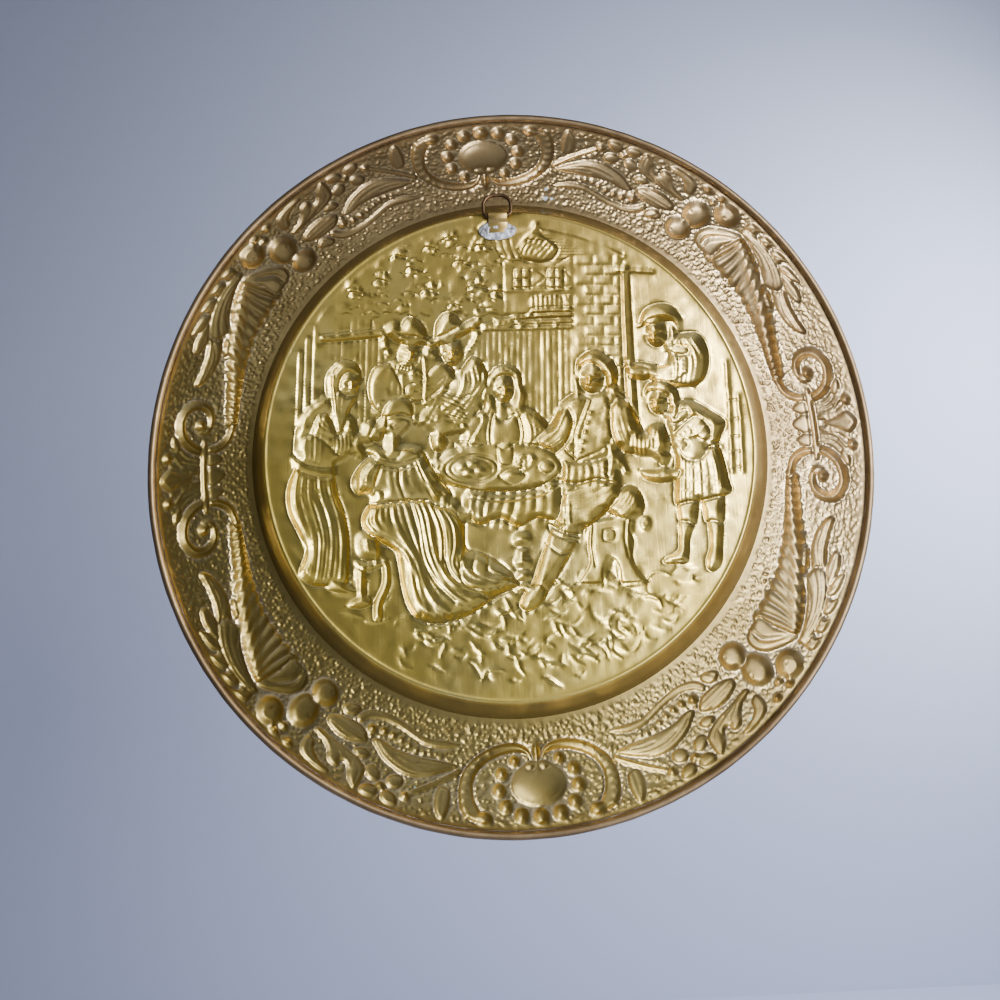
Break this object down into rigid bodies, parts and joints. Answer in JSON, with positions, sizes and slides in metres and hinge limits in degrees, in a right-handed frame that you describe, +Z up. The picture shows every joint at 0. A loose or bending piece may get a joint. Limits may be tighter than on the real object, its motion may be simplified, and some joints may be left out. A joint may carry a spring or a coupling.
{
  "type": "brass wall plate",
  "caption": "Round pressed brass wall plate with a deep well, a tavern scene in relief, a rim of fruit horns and scrolls, a rolled edge, and a swinging hanging ring on its back",
  "frame": {"origin": "where the nail bears: the top of the inside of the hanging ring, in the middle of its wire's thickness", "axes": "+Z up as it hangs, the pressed front faces -Y, the back and the wall are towards +Y, X along the ring's bar"},
  "size_m": [0.356, 0.0341, 0.3559],
  "materials": {
    "plate_brass": "pressed sheet brass, polished and gone soft yellow-brown, darker in the hollows",
    "strap_brass": "plain rolled brass strip, lightly toned, with grey solder round it",
    "ring_brass": "drawn wire, toned dark brown"
  },
  "bodies": {
    "ring": {"hanger_ring": "ring_brass"},
    "hanging_plate": {"plate": "plate_brass", "hanger_strap": "strap_brass"}
  },
  "joints": [
    {"name": "ring_hinge", "type": "hinge", "parent": "ring", "child": "hanging_plate", "pos_m": [0, 0, -0.00905], "axis": [1, 0, 0], "range_deg": [-30, 160]}
  ]
}
